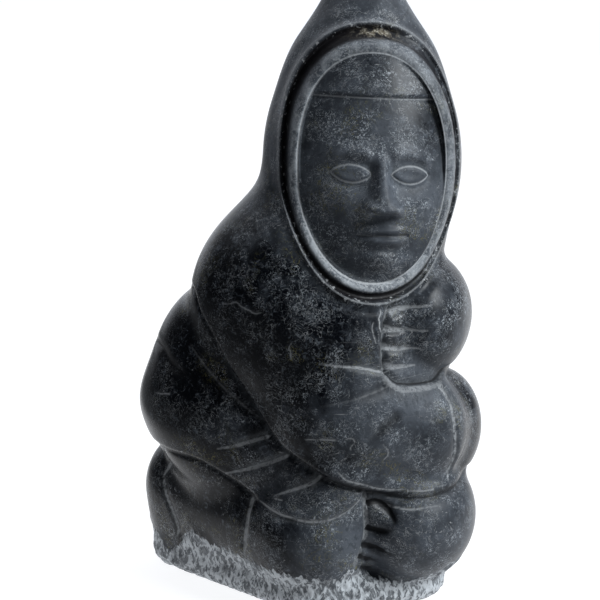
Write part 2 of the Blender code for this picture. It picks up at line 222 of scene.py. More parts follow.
# The folds and fingers. Each is one pass of a riffler: a groove along a course on the stone, with
# the garment above it rolled up a little and the one below it let down. Polish never reaches the
# bottom, so most of them hold a thread of pale dust.

# Each cut has its depth, its half width, how much the stone steps down beside it and how far that
# step reaches, how much of its length fades in and out, how much dust it holds (below 0 it holds
# none and a painted shadow line darkens it instead), how wide a band of dust or painted shadow lies
# in it, and the points of its course. A point is a bearing in degrees and a height. The step falls
# on the right hand of the course, and on the left hand where it is below 0.
CUTS = [
    # lower edge of the right sleeve, from behind the shoulder down and across to the hand
    (1.7, 1.2, 2.4, 6, 0.12, 0.12, -0.5, 0.1, [
        (-92, 124), (-77, 122.5), (-69, 115), (-61.5, 107.5), (-53.5, 94.5), (-40, 82), (-23, 68.5),
        (-8, 61.5), (7, 55), (19.5, 51.5), (36, 48), (55, 48), (76, 50), (98, 53)]),
    # second line along the sleeve, and the fold behind it
    (0.5, 0.8, 0.5, 3, 0.3, 0.3, 0.25, 0, [(-74.5, 101.5), (-64, 93), (-51.5, 84.5), (-32, 74)]),
    (0.9, 2.2, 0.5, 4, 0.2, 0.5, -0.3, 0, [
        (-104, 99), (-88, 97.5), (-79.5, 93), (-71.5, 90), (-60, 84)]),
    # hem of the parka, round the back to the right hip and on over the right knee
    (1.4, 1.1, 2.2, 5, 0.05, 0.1, -0.7, 0.2, [
        (100, 52), (130, 56), (190, 62), (250, 62), (269, 58), (282, 57), (296, 56.5), (304.5, 53),
        (314, 49), (323.5, 45.5), (333, 43)]),
    (0.9, 0.9, 1.6, 4, 0.15, 0.03, 1.0, 0, [
        (-30, 44), (-18, 41.5), (-10, 40.5), (-1, 39.5), (7.5, 40), (16, 43), (21.5, 47.5),
        (23.5, 50.5)]),
    # three folds above the hem
    (1.0, 1.3, 1.2, 5, 0.1, 0.5, 1.0, 0.3, [
        (-27.5, 69.5), (-34.5, 67.5), (-43.5, 64.5), (-52.5, 62.5)]),
    (1.1, 1.3, 1.4, 5, 0.08, 0.5, 1.0, 0.3, [(-15, 63), (-27, 58.5), (-38.5, 55), (-52.5, 52)]),
    (1.1, 1.3, 1.4, 5, 0.08, 0.5, 1.0, 0.3, [(2, 56.5), (-2, 53.5), (-11.5, 50), (-21, 46.5)]),
    # end of the right sleeve, in front of the right hand
    (0.9, 1.0, 1.2, 4, 0.15, 0.15, 0.8, 0.1, [
        (49.5, 91), (54.5, 87), (56, 82), (55.5, 75.5), (56, 67.5), (59.5, 56.5), (57, 50)]),
    # creases that fan out from the inside of the right elbow
    (0.9, 1.2, 0.9, 5, 0.05, 0.6, 0.9, 0.2, [(23, 96), (11.5, 98.5), (2.5, 99.5), (-9.5, 100.5)]),
    (1.3, 2.4, 1.0, 6, 0.1, 0.7, 0.2, 0, [(24.5, 91.5), (17.5, 89.5), (9.5, 87.5), (-4.5, 84.5)]),
    (1.1, 2.2, 0.6, 6, 0.2, 0.5, 0.0, 0, [(32, 81.5), (24, 75.5), (16.5, 67)]),
    # left hand: its finger ends, its lower edge, and the dust that lies under it
    (1.6, 1.5, -1.4, 4, 0.1, 0.05, 0.45, 0.4, [
        (22, 123.5), (18.5, 118), (18, 113), (19, 106), (21, 99.5), (24, 95)]),
    (1.9, 1.4, -1.2, 5, 0.05, 0.1, -0.8, 0.1, [
        (22, 98), (26.5, 93.5), (32.5, 91.5), (49.5, 90.5), (64, 91), (98, 94)]),
    (0.1, 3.4, 0.0, 3, 0.1, 0.3, 0.5, 0.9, [
        (20, 96), (25.5, 91.6), (32.5, 89.3), (49.5, 88.5), (64, 90)]),
    # boot: its top edge, its sole and the nick over the heap of snow
    (1.0, 1.4, 0.7, 5, 0.05, 0.2, 0.8, 0.9, [(-36, 44), (-36, 37.5), (-36.5, 31.5), (-40.5, 18.5)]),
    (0.8, 1.1, -0.8, 4, 0.1, 0.1, 0.7, 0.3, [
        (-84, 57), (-95, 50), (-99, 43), (-97, 36.5), (-94.5, 30.5), (-92.5, 26), (-92, 21),
        (-94, 16)]),
    (0.9, 1.0, 0.0, 4, 0.2, 0.2, 0.7, 0.3, [(-81, 23), (-86, 20), (-93, 15.5)]),
    # valley between the legs, and the creases that run from it into the left knee
    (1.7, 1.3, 0.6, 4, 0.05, 0.1, 0.5, 0.5, [
        (23.5, 50), (24, 43), (25.5, 35.5), (25, 30.5), (22.5, 24.5), (19.5, 18)]),
    (2.6, 1.7, 0.0, 3, 0.02, 0.55, -1.0, 0.9, [
        (24.5, 44), (29, 45), (32.5, 43), (34, 38.5), (33, 35.5)]),
    (0.9, 0.8, -0.5, 3, 0.1, 0.4, 0.6, 0.1, [
        (31, 44), (36, 43.5), (39.5, 43), (44, 43.5), (50, 43.5)]),
    (2.1, 1.4, 0.0, 3, 0.02, 0.4, -0.9, 0.8, [(25.5, 34.8), (29.5, 33.6), (33.5, 34.5)]),
    (1.8, 1.5, 0.0, 3, 0.02, 0.5, -0.9, 0.8, [(24, 28.5), (30, 26), (35, 24)]),
    (1.5, 1.3, 0.0, 3, 0.02, 0.5, -0.8, 0.6, [(22.5, 23.5), (28.5, 21), (33, 20)]),
    (1.1, 1.1, 0.0, 3, 0.02, 0.5, -0.7, 0.5, [(23, 19), (30, 16.5), (36, 15)]),
]
# scratches and one thin vein, which hardly go into the stone: how dusty, and the course
SCRATCH, SCRATCH_BAND = (0.1, 0.4, 0.0, 3, 0.1, 0.1), -0.25
SCRATCHES = [
    (1.0, [(14, 120), (14.7, 118.4), (13.8, 116.9), (14.7, 115.1), (15.2, 113.2), (17.4, 111)]),
    (0.6, [(11.5, 115.5), (11.0, 113.8), (11.8, 111.9), (13.2, 109.7), (14.7, 107.3)]),
    (0.7, [(-7.2, 71.4), (-1, 72.2), (5.8, 72.3)]),
    (0.4, [(-56, 120.5), (-52, 120.9), (-49.6, 121.9), (-46.5, 120.2), (-43.8, 119.4),
           (-40.5, 118.2), (-37.9, 118.9)]),
    (0.5, [(-22.6, 108.1), (-23.6, 106.3), (-22.4, 104.6), (-21.3, 101.6)]),
    (0.6, [(-81.6, 80.2), (-74.1, 81.5)]),
    (0.6, [(-19.5, 46.2), (-14.5, 46)]),
    (0.5, [(24.5, 69.9), (27.6, 67.3), (28.4, 64.9), (26.9, 62.6)]),
    (0.5, [(8.6, 72.3), (11.4, 72.9), (13.1, 71.2), (11.9, 69.5), (12.4, 67.9)]),
]
# dust that a cloth has pushed up against the sleeve's lower edge
PUSHED_DUST = (0.1, 0.6, 0.0, 3, 0.1, 0.1, 0.7, -0.1, [
    (8.1, 60), (12.1, 56.6), (14.8, 55.2), (21.5, 53.4), (26.8, 51.6), (34.1, 50), (39.1, 49.4),
    (43.2, 49), (48.3, 49), (55.3, 49.8)])
# each gap between fingers opens at the finger ends and runs out along the back of the hand
FINGER_GAP = (2.6, 1.9, 0.0, 3, 0.01, 0.85, 0.95, 1.0)
FINGER_COURSES = [[(21, 118), (29.5, 119.5), (42, 120.2)], [(18, 113), (26.5, 111.5), (41, 110.5)],
                  [(19.3, 106), (28, 104.5), (41, 103.5)], [(21, 99.5), (28.5, 98), (41, 97)]]


def course(points, count=60):
    """A Catmull-Rom curve through the points of a cut, laid on the stone by a ray for each step."""
    ends = np.array(points, float)
    hull = np.vstack([2 * ends[0] - ends[1], ends, 2 * ends[-1] - ends[-2]])
    t = np.linspace(0, len(points) - 1 - 1e-6, count)
    i = t.astype(int)
    f = (t - i)[:, None]
    a, b, c, d = hull[i], hull[i + 1], hull[i + 2], hull[i + 3]
    route = b + 0.5 * ((c - a) * f + (2 * a - 5 * b + 4 * c - d) * f**2
                       + (3 * b - a - 3 * c + d) * f**3)
    return skin(ray_starts(route[:, 1]), ray_ways(np.radians(route[:, 0]), np.zeros(count)))


def beside_course(p, out, path):
    """For points near a path: which they are, how far off, how far along, and on which hand. Each
    piece of the path gives a foot and a gap, and the smallest gap counts."""
    reach = 12                  # a cut changes nothing further off than this
    near = np.all((p > path.min(0) - reach) & (p < path.max(0) + reach), -1)
    q, out = p[near], out[near]
    gap = np.full(len(q), np.inf)
    along = np.zeros(len(q))
    hand = np.zeros(len(q))
    for i, way in enumerate(np.diff(path, axis=0)):
        t = np.clip((q - path[i]) @ way / (way @ way), 0, 1)
        off = q - path[i] - t[:, None] * way
        size = np.linalg.norm(off, axis=1)
        closer = size < gap
        gap = np.where(closer, size, gap)
        along = np.where(closer, (i + t) / (len(path) - 1), along)
        hand = np.where(closer, (np.cross(way, off) * out).sum(1), hand)
    return near, gap, along, hand


# Two sets of threads are kept, so that threads that run close together don't mix. Each set keeps
# the distance to its thread, below 0 on the right hand, and how dusty the thread is there; below 0
# that number is how dark a painted shadow line along it is.
FAR = 9.0
ROLL_UP = 0.35                  # how much of a step the stone on its high side rolls up
FALL_OFF = 1.6                  # how fast a step dies away over its reach
move = np.zeros(block.shape[:-1])
pale = np.zeros(block.shape[:-1])
shade = np.zeros(block.shape[:-1])
threads = [np.full(block.shape[:-1], FAR) for _ in range(2)]
thread_dust_and_shade = [np.zeros(block.shape[:-1]) for _ in range(2)]
passes = [*CUTS, *[(*SCRATCH, dusty, SCRATCH_BAND, points) for dusty, points in SCRATCHES],
          PUSHED_DUST, *[(*FINGER_GAP, points) for points in FINGER_COURSES]]
for number, one_pass in enumerate(passes):
    depth, width, step, reach, fade_in, fade_out, dusty, band, points = one_pass
    near, gap, along, hand = beside_course(block, outward, course(points))
    fade = ramp(along, 0, fade_in) * (1 - ramp(along, 1 - fade_out, 1))
    width = width * (0.35 + 0.65 * fade)        # a cut is narrower where it runs out
    low_side = hand * np.sign(step) <= 0
    lap = abs(step) * np.where(low_side, -1.0, ROLL_UP) * np.exp(-FALL_OFF * gap / reach)
    lap = lap * ramp(gap, 0, 0.8)
    move[near] += (lap - depth * bump(gap, width)) * fade
    pale[near] = np.maximum(pale[near], bump(gap, width * 1.3) * fade * max(dusty, 0))
    # painted shade: each cut darkens the colour along its course, less where it holds more dust
    shade[near] = np.maximum(shade[near], bump(gap, width * 1.1) * fade * min(1 - dusty, 1))
    line, dust = threads[number % 2], thread_dust_and_shade[number % 2]
    off = np.maximum(gap - band * fade, 0)
    closer = off < np.abs(line[near])
    line[near] = np.where(closer, off * np.where(hand < 0, -1, 1), line[near])
    ends = ramp(along, 0, 0.03) * (1 - ramp(along, 0.97, 1))
    dust[near] = np.where(closer, dusty * ends * (0.4 + 0.6 * fade), dust[near])
stone = block + outward * move[..., None]


# The hood's opening. A thin raised rim runs round it, then the lining falls into a deep groove, and
# a round roll stands between the groove and the skin, with a fine line on its inner side.

FACE_BEARING = math.radians(8)
# three ovals, from outside in: the middle of each across and up, and half its width and height
RIM = (-1.0, 174.0, 34.5, 52.0)
GROOVE = (-1.0, 173.0, 33.2, 48.0)
LINING = (-1.8, 172.2, 28.3, 42.8)
ROUND = 2.2                     # 2 would be a true ellipse
RIM_RISE = 0.8
GROOVE_DEPTHS = (2.1, 1.5)      # its depth, and how much of that is lost on the right
ROLL_SWELL = 4.4                # four times what the roll swells at its middle


def inside(oval, s, z):
    """Gap from an oval, above 0 inside it: 1 less the oval's size at the point, over its slope."""
    middle, mid_height, half_wide, half_tall = oval
    u, v = np.abs(s - middle) / half_wide, np.abs(z - mid_height) / half_tall
    size = (u**ROUND + v**ROUND + 1e-12) ** (1 / ROUND)
    slope = np.hypot((u / size) ** (ROUND - 1) / half_wide, (v / size) ** (ROUND - 1) / half_tall)
    return (1 - size) / np.maximum(slope, 1e-4)


ahead = np.array([math.sin(FACE_BEARING), -math.cos(FACE_BEARING), 0])
across = np.array([math.cos(FACE_BEARING), math.sin(FACE_BEARING), 0])
from_axis = block - np.array([*HOOD_AXIS, 0])
face_s, face_z = from_axis @ across, block[..., 2]
rim_gap, groove_gap, lining_gap = [inside(oval, face_s, face_z) for oval in (RIM, GROOVE, LINING)]
front = ramp(from_axis @ ahead, 2, 10)
facing = np.clip(outward @ ahead, 0.45, 1)
fall = np.clip(rim_gap / np.maximum(rim_gap - groove_gap, 0.3), 0, 1)
roll_share = np.clip(groove_gap / np.maximum(groove_gap - lining_gap, 0.3), 0, 1)
raised = RIM_RISE * bump(rim_gap, 0.8) - 0.5 * bump(rim_gap + 2.6, 1.6)
shallow = ramp(face_s, 5, 18)   # the groove is little more than a line on the right
sunk = 0.9 * ramp(groove_gap, 0.2, 1.4) + ROLL_SWELL * roll_share * (1 - roll_share)
sunk = sunk - (GROOVE_DEPTHS[0] - GROOVE_DEPTHS[1] * shallow) * ramp(fall, 0.08, 0.6)
stone = stone + outward * (raised * front)[..., None]
stone = stone + ahead * (sunk / facing * front)[..., None]


# The face: calm, on the usual thirds from the fringe down to the chin, with a smooth cap of hair
# above a straight fringe. It is cut back from the roll and modelled in low relief. The head leans
# a touch to its left.

FRINGE = 199.0
CHIN = 133.0
THIRD = (FRINGE - CHIN) / 3
BROW, EYES = FRINGE - THIRD, FRINGE - 1.3 * THIRD
NOSE, LIPS = CHIN + THIRD, CHIN + THIRD * 2 / 3
EYE_APART, EYE_LONG = 11.2, 7.4
HEAD_LEAN = 0.045


def face(s, z):
    """How far the face stands ahead of the head's axis: a barrel, plus a bell for each feature."""
    side = np.abs(s)
    d = 42.0 - 0.0047 * np.clip(z - 158, 0, None) ** 2 - 0.0022 * np.clip(158 - z, 0, None) ** 2
    # the barrel's roundness across, and the cap of hair
    d = d - s**2 / 66 + 1.4 * ramp(z, FRINGE - 0.6, FRINGE + 0.6)
    # brows, eye sockets and eyeballs
    arch = BROW + 1.2 - 0.035 * (side - 9) ** 2
    d = d + 1.3 * bump(z - arch, 2.6) * ramp(side, 2, 6) * (1 - ramp(side, 16, 21))
    d = d - 2.8 * bump(side - 10.8, 7.5) * bump(z - EYES, 4.6)
    ball = 1 - ((side - EYE_APART) / EYE_LONG) ** 2 - ((z - EYES) / 4.2) ** 2
    d = d + 2.6 * np.sqrt(np.clip(ball, 0, 1))
    # the nose, which widens and rises as it comes down, its wings and nostrils
    down = np.clip((BROW - z) / (BROW - NOSE), 0, 1)
    bridge = np.exp(-(side / (2.6 + 3 * down**1.4)) ** 2.6)
    d = d + ((1.6 + 6.6 * down**1.1) * bridge * ramp(BROW + 3 - z, 0, 6)
             * ramp(z, NOSE - 0.5, NOSE + 2.5))
    d = d + 3.4 * bump(side - 5.4, 2.7) * bump(z - NOSE - 3, 2.9)
    d = d - 1.1 * bump(side - 3, 1.3) * bump(z - NOSE - 0.4, 1.0)
    # cheeks
    d = d + 1.5 * bump(side - 13.5, 7.5) * bump(z - NOSE - 4, 8)
    # the mouth: its swell, the upper lip, the lower lip, the line between them and the dip below
    d = d + 1.6 * bump(side, 12) * bump(z - LIPS, 6.5)
    d = d + 1.5 * np.exp(-(side / 9.2) ** 4) * bump(z - LIPS - 1.9, 1.5)
    d = d + 1.8 * np.exp(-(side / 7.6) ** 4) * bump(z - LIPS + 2.1, 1.7)
    d = d - 1.3 * bump(z - LIPS, 0.7) * ramp(11 - side, 0, 2.5)
    d = d - 0.9 * bump(side, 8) * bump(z - LIPS + 5.6, 1.8)
    # chin
    return d + 2.4 * bump(side, 7.5) * bump(z - CHIN - 5.3, 4.2)


def lid_gap(s, z):
    """Gap from the incised almond round each eye, above 0 inside it: half its opening, a power of a
    parabola, less the height from its middle, and past its corners the distance from them."""
    beside = (np.abs(s) - EYE_APART) / EYE_LONG
    half_open = 3.3 * np.clip(1 - beside**2, 0, 1) ** 0.8
    from_corner = np.hypot((np.abs(beside) - 1) * EYE_LONG, z - EYES)
    return np.where(np.abs(beside) < 1, half_open - np.abs(z - EYES), -from_corner)


level = face_z + HEAD_LEAN * face_s
lids = lid_gap(face_s, level)
skin_mask = ramp(lining_gap, 0.2, 1.2) * front
want = face(face_s, level) - 0.7 * bump(lids, 0.6)
depth = (stone - np.array([*HOOD_AXIS, 0])) @ ahead
stone = stone + ahead * ((want - depth) * skin_mask)[..., None]


# The snow. The carver leaves the foot unpolished and covers it with short chops of a small chisel,
# so it shows pale bruised stone between darker facets. It is heaped against the boot. The longer
# and finer strokes over these chops are in the stone's finish.

CHOP_PITCH = 2.6
FOOT_RADIUS = 50                # the chops are spread as if this were the foot's radius
CHOPPED_TO = 27                 # no snow lies above this height
CHOP_DEPTH, CHOP_LIFT = 1.1, 0.4        # how deep a chop goes, and how proud the snow is left
# bands of chops: the middle height and half the height of each
CHOP_BANDS = [(1.5, 1.9), (4.2, 1.9), (6.9, 1.9), (9.6, 1.9), (12.3, 1.9), (15.0, 1.9), (17.7, 1.9),
              (20.4, 2.1)]
chance = np.random.default_rng(11)
# where the snow ends against the legs: bearings and heights
SNOW_EDGE_AT = [
    (-180, 17), (-150, 21), (-110, 19), (-98.5, 9), (-95.5, 11), (-92, 15.5), (-86, 21), (-82, 22),
    (-69.5, 18.5), (-54, 19.5), (-43, 18), (-28.5, 17.5), (-15.5, 17.5), (-5.5, 16.5), (3.5, 15.5),
    (13, 16), (18.5, 19.5), (26, 15.5), (33, 13), (39.5, 11.5), (46, 10.5), (51, 12), (53.5, 15),
    (60, 18), (90, 14), (130, 17), (180, 17),
]


def chops(turn, z):
    """Depth of the chops: each band has so many round the foot, and a chop is a bell across its
    width times a bell along its length, with its own place, height, lean and force. The deepest
    counts."""
    total = np.zeros(np.broadcast(turn, z).shape)
    count = int(2 * math.pi * FOOT_RADIUS / CHOP_PITCH)
    for middle, half in CHOP_BANDS:
        place = (np.arange(count) + chance.uniform(-0.35, 0.35, count)) * 2 * math.pi / count
        height = middle + chance.uniform(-1.2, 1.2, count)
        lean = chance.uniform(-0.8, 0.8, count)
        force = chance.uniform(0.4, 1.0, count)
        for k in range(count):
            around = (turn - place[k] + math.pi) % (2 * math.pi) - math.pi
            off = around * FOOT_RADIUS - lean[k] * (z - height[k])
            chop = force[k] * bump(off, 0.9) * bump(z - height[k], half * 0.75)
            total = np.maximum(total, chop)
    return total


edge_turn, edge_height = np.array(SNOW_EDGE_AT).T
wrapped = (np.degrees(bearings) + 180) % 360 - 180
ragged_edge = np.interp(wrapped, edge_turn, edge_height)
ragged_edge = ragged_edge + 0.8 * np.sin(wrapped * 0.9) + 0.5 * np.sin(wrapped * 2.3 + 1)
foot_rows = heights < CHOPPED_TO
snow_share = np.zeros(block.shape[:-1])
snow_share[foot_rows] = ramp(ragged_edge[None, :] - heights[foot_rows][:, None], -1.2, 1.2)
stroke = np.zeros(block.shape[:-1])
stroke[foot_rows] = chops(bearings[None, :], heights[foot_rows][:, None])
edge_fade = ramp(heights, 0, 1.5)[:, None]
chopped = (CHOP_LIFT - CHOP_DEPTH * stroke) * snow_share * edge_fade
stone = stone + outward * chopped[..., None]


# The stone goes into one mesh: the grid of points, a point at the hood's tip, and a flat underside
# of one ring more, set to the frame's box so that it stands just where the solid stands.

tip = stone[-1].mean(0)
tip[2] = stone[-1][:, 2].max()
sole_ring = stone[0] * (0.9, 0.9, 0)
points = np.vstack([stone.reshape(-1, 3), sole_ring, np.zeros(3), tip])
low, high = np.array(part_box("carved_figure"))
own_low, own_high = points.min(0), points.max(0)
points = low + (points - own_low) * (high - low) / (own_high - own_low)

rows, columns = stone.shape[:2]
ring = np.arange(columns)
after = (ring + 1) % columns
row_starts = (np.arange(rows - 1) * columns)[:, None]
walls = np.stack([row_starts + ring, row_starts + after, row_starts + columns + after,
                  row_starts + columns + ring], -1).reshape(-1, 4)
last, sole = (rows - 1) * columns, rows * columns
sole_middle, tip_at = sole + columns, sole + columns + 1
faces = walls.tolist()
faces += np.stack([last + ring, last + after, np.full(columns, tip_at)], -1).tolist()
faces += np.stack([after, ring, sole + ring, sole + after], -1).tolist()
faces += np.stack([sole + after, sole + ring, np.full(columns, sole_middle)], -1).tolist()

mesh = bpy.data.meshes.new("soapstone_carving")
mesh.from_pydata(points.tolist(), [], faces)
mesh.shade_smooth()
carving = bpy.data.objects.new("soapstone_carving", mesh)
bpy.context.collection.objects.link(carving)


def bend(p, out, axis, span):
    """Hollowness along one direction of the grid: how far the middle of two neighbours stands out
    from the point between them, over the square of their half distance."""
    before, behind = np.roll(p, span, axis), np.roll(p, -span, axis)
    size = ((before - behind) ** 2).sum(-1) / 4
    return (((before + behind) / 2 - p) * out).sum(-1) / np.maximum(size, 0.05)


carved_out = outward_of(stone)
hollow = ramp(bend(stone, carved_out, 0, 4) + bend(stone, carved_out, 1, 5), 0.03, 0.22)
hollow[:4] = hollow[-6:] = 0    # the first and last rows have no neighbours on one side


def store(name, values, rest=0.0):
    """Keep one number for each point of the mesh, and the rest value for the sole and the tip."""
    layer = mesh.attributes.new(name, "FLOAT", "POINT")
    numbers = np.append(values.ravel(), np.full(columns + 2, rest))
    layer.data.foreach_set("value", numbers.astype(np.float32))


# The stone is nearly black where hands hold it, on the chest, shoulders and back. A grey bloom is
# left elsewhere, and it also carries painted light: much of it lies where the stone catches the
# light. Its places: bearing, height, how wide, how tall and how strong. A place below 0 is painted
# shade, darker than the stone round it, on the figure's right side, turned from the soft box, and
# on the chest.
BLOOM_AND_PAINTED_LIGHT = [
    (20, 232, 200, 22, 0.6), (-66, 190, 34, 34, 0.7), (8, 165, 46, 31, 0.85),
    (48, 112, 30, 26, 0.15), (36, 88, 26, 13, 1.0), (42, 60, 28, 14, 0.5),
    (12, 95, 10, 22, 0.3), (52, 30, 34, 22, 0.5),
    (5, 26, 30, 16, 0.38), (14, 32, 10, 18, 0.5), (5, 75, 26, 12, 0.15), (-24, 52, 20, 14, 0.4),
    (-48, 78, 14, 14, 0.3), (150, 100, 50, 60, 0.25), (215, 50, 60, 30, 0.3),
    (-78, 85, 30, 26, -0.5), (-70, 40, 40, 18, -0.6), (-22, 105, 22, 14, -0.25),
    (-62, 135, 30, 14, -0.15),
]
turn = np.degrees(bearings)[None, :]
bloom_and_painted_light = np.full(block.shape[:-1], 0.02)
for middle, height, wide, tall, strong in BLOOM_AND_PAINTED_LIGHT:
    apart = (turn - middle + 180) % 360 - 180
    bloom_and_painted_light = bloom_and_painted_light + strong * bump(apart, wide) * bump(heights[:, None] - height, tall)
# a crust is left in the groove, under the top of the hood's rim
residue = bump(face_s - 1.5, 7) * bump(groove_gap + 1.6, 1.7) * (face_z > 205) * front

for name, values in (("pale", pale), ("shade", shade), ("hollow", hollow), ("snow", snow_share),
                     ("stroke", stroke), ("thread_a_dust", thread_dust_and_shade[0]),
                     ("thread_b_dust", thread_dust_and_shade[1]), ("bloom_and_painted_light", bloom_and_painted_light)):
    store(name, values)
store("thread_a", threads[0], FAR)
store("thread_b", threads[1], FAR)
# a painted shadow in the hood's groove, under its rim, faint on the right where the groove is
# shallow
in_groove = ramp(rim_gap, 0.2, 1.2) * ramp(-groove_gap, -1.6, -0.4) * (1 - 0.9 * shallow)
store("groove_shadow", np.maximum(in_groove, bump(groove_gap - 0.2, 0.7) * 0.9) * front)
store("residue", residue)
# the roll's dust, with painted light and shade in it: paler low down and on the left, where light
# is painted on, and darker towards the top, where the roll faces down and shade is painted
store("roll_dust_and_shade", (0.8 - 0.45 * ramp(face_z, 185, 215)) * (1 - 0.5 * ramp(face_s, 5, 25)))
lip_line = np.where(np.abs(face_s) < 10, level - LIPS, FAR)
for name, values in (("rim", rim_gap), ("groove", groove_gap), ("lining", lining_gap),
                     ("lids", lids), ("fringe", level - FRINGE), ("lips", lip_line)):
    store(name, np.where(front > 0.5, np.clip(values, -FAR, FAR), -FAR), -FAR)
store("skin", skin_mask)


# Polished soapstone: near-black blue-grey where hands have waxed it, greyer where a dull bloom was
# left and where painted light marks the lit places, darker in painted shade, with cloudy mottling,
# pale squiggles and scratches, dust threads and painted shade in the cuts, a painted shadow in the
# hood's groove, and bruised pale stone on the snow.

WAXED, DULL_GREY_AND_PAINTED_LIGHT = (0.0012, 0.0020, 0.0038), (0.079, 0.090, 0.107)
WORN, FLECK, PIT = (0.060, 0.071, 0.089), (0.10, 0.115, 0.135), (0.020, 0.024, 0.030)
NET_DUST, VEIN = (0.42, 0.455, 0.49), (0.24, 0.25, 0.26)
CURL, OLIVE, SCRATCHED = (0.42, 0.44, 0.46), (0.13, 0.12, 0.05), (0.28, 0.29, 0.30)
CUT_SHADE, GROOVE_PAINTED_SHADOW, PAINTED_CUT_SHADOW = (0.006, 0.006, 0.007), (0.007, 0.006, 0.007), (0.003, 0.003, 0.004)
HOLLOW_DUST, CUT_DUST, THREAD = (0.12, 0.135, 0.15), (0.16, 0.17, 0.18), (0.36, 0.375, 0.39)
ROLL_WORN, ROLL_RUBBED = (0.10, 0.115, 0.135), (0.38, 0.41, 0.44)
ROLL_DUST, FINE_DUST = (0.55, 0.57, 0.59), (0.44, 0.46, 0.48)
CRUST_BROWN, CRUST_PALE, CHIP = (0.12, 0.10, 0.07), (0.50, 0.47, 0.40), (0.30, 0.31, 0.32)
UNSTRUCK, BRUISED = (0.080, 0.088, 0.098), (0.48, 0.51, 0.54)
STONE_DUST, DARK_STONE = (0.34, 0.36, 0.38), (0.05, 0.055, 0.062)

polish = bpy.data.materials.new("polished_soapstone")
polish.use_nodes = True
tree = polish.node_tree
shader = tree.nodes["Principled BSDF"]
shader.inputs["Metallic"].default_value = 0.0
shader.inputs["IOR"].default_value = 1.5
shader.inputs["Specular IOR Level"].default_value = 0.14


def node(kind, **settings):
    """A new node of the tree in hand, with its settings."""
    made = tree.nodes.new(kind)
    for key, value in settings.items():
        setattr(made, key, value)
    return made


def link(value, socket):
    """Feed a socket from another node, or set it to a plain value."""
    if hasattr(value, "is_output"):
        tree.links.new(value, socket)
    else:
        socket.default_value = value


def math_of(operation, a, b=0.0, clamp=False):
    """One sum of two values, held between 0 and 1 where clamp is set."""
    made = node("ShaderNodeMath", operation=operation, use_clamp=clamp)
    link(a, made.inputs[0])
    link(b, made.inputs[1])
    return made.outputs[0]


def times(*values):
    """The product of all the values."""
    total = values[0]
    for value in values[1:]:
        total = math_of("MULTIPLY", total, value)
    return total


def most(*values):
    """The greatest of the values."""
    top = values[0]
    for value in values[1:]:
        top = math_of("MAXIMUM", top, value)
    return top


def step_between(value, low, high, out_low=0.0, out_high=1.0):
    """Smooth step of a value between low and high, and held at its ends outside them."""
    made = node("ShaderNodeMapRange", interpolation_type="SMOOTHSTEP")
    link(value, made.inputs["Value"])
    ends = {"From Min": low, "From Max": high, "To Min": out_low, "To Max": out_high}
    for key, number in ends.items():
        made.inputs[key].default_value = number
    return made.outputs["Result"]


def near_zero(value, core, edge):
    """1 where a value is within core of nothing, falling to 0 at edge."""
    return step_between(math_of("ABSOLUTE", value), core, edge, 1.0, 0.0)


def around_half(value):
    """A noise less its middle value."""
    return math_of("SUBTRACT", value, 0.5)


def tint(share, under, over):
    """One colour laid over another by a share."""
    made = node("ShaderNodeMix", data_type="RGBA")
    link(share, made.inputs["Factor"])
    for value, socket in ((under, made.inputs["A"]), (over, made.inputs["B"])):
        link(value if hasattr(value, "is_output") else (*value, 1), socket)
    return made.outputs["Result"]


place = node("ShaderNodeTexCoord").outputs["Object"]


def stretched(scale, turned):
    """The stone's own coordinates, turned and then scaled along each axis."""
    made = node("ShaderNodeMapping")
    tree.links.new(place, made.inputs["Vector"])
    made.inputs["Scale"].default_value = scale
    made.inputs["Rotation"].default_value = turned
    return made.outputs["Vector"]


def cloud(size_mm, detail=3.0, rough=0.55, warp=0.0, vector=place):
    """Noise whose blots are about size_mm across."""
    made = node("ShaderNodeTexNoise")
    link(vector, made.inputs["Vector"])
    made.inputs["Scale"].default_value = 1000 / size_mm
    made.inputs["Detail"].default_value = detail
    made.inputs["Roughness"].default_value = rough
    made.inputs["Distortion"].default_value = warp
    return made.outputs["Fac"]


def kept(name):
    """A number that store kept on the mesh."""
    made = node("ShaderNodeAttribute", attribute_name=name, attribute_type="GEOMETRY")
    return made.outputs["Fac"]


broad = cloud(26, 3)
mottle = cloud(7, 5, 0.65, 0.5)
flecks = cloud(2.2, 3, 0.7, 1.0)
grit = cloud(1.0, 2, 0.7)
# the grey bloom also carries painted light and painted shade; the worn mottle, flecks and pits
# follow it
bloom_and_painted_light_at = kept("bloom_and_painted_light")
bloom_and_painted_light = math_of("ADD", bloom_and_painted_light_at, times(around_half(broad), 1.2))
bloom_and_painted_light = math_of("ADD", bloom_and_painted_light, times(around_half(mottle), 0.9), clamp=True)
base = tint(bloom_and_painted_light, WAXED, DULL_GREY_AND_PAINTED_LIGHT)
worn = step_between(bloom_and_painted_light_at, -0.2, 0.25, 0.3, 1.0)
base = tint(times(step_between(mottle, 0.52, 0.74), worn, 0.5), base, WORN)
fleck_share = times(step_between(flecks, 0.54, 0.68), step_between(mottle, 0.36, 0.6), 0.7)
base = tint(fleck_share, base, FLECK)
pits = step_between(cloud(3.0, 4, 0.75), 0.50, 0.60)
base = tint(times(pits, bloom_and_painted_light, 0.55), base, PIT)

# a fine net of pale dust over all the stone, thicker in patches and thinner in the painted shade
net = near_zero(around_half(cloud(3.4, 4, 0.75, 1.2)), 0.002, 0.019)
dots = step_between(cloud(1.2, 2, 0.8), 0.60, 0.68)
spread = times(math_of("ADD", step_between(cloud(11, 3, 0.6), 0.44, 0.62), 0.04),
               step_between(broad, 0.36, 0.58, 0.4, 1.0),
               step_between(bloom_and_painted_light_at, -0.35, 0.1, 0.2, 1.0))
specks = times(most(times(net, step_between(grit, 0.36, 0.56)), times(dots, 0.8)), spread)
base = tint(times(specks, 0.95), base, NET_DUST)


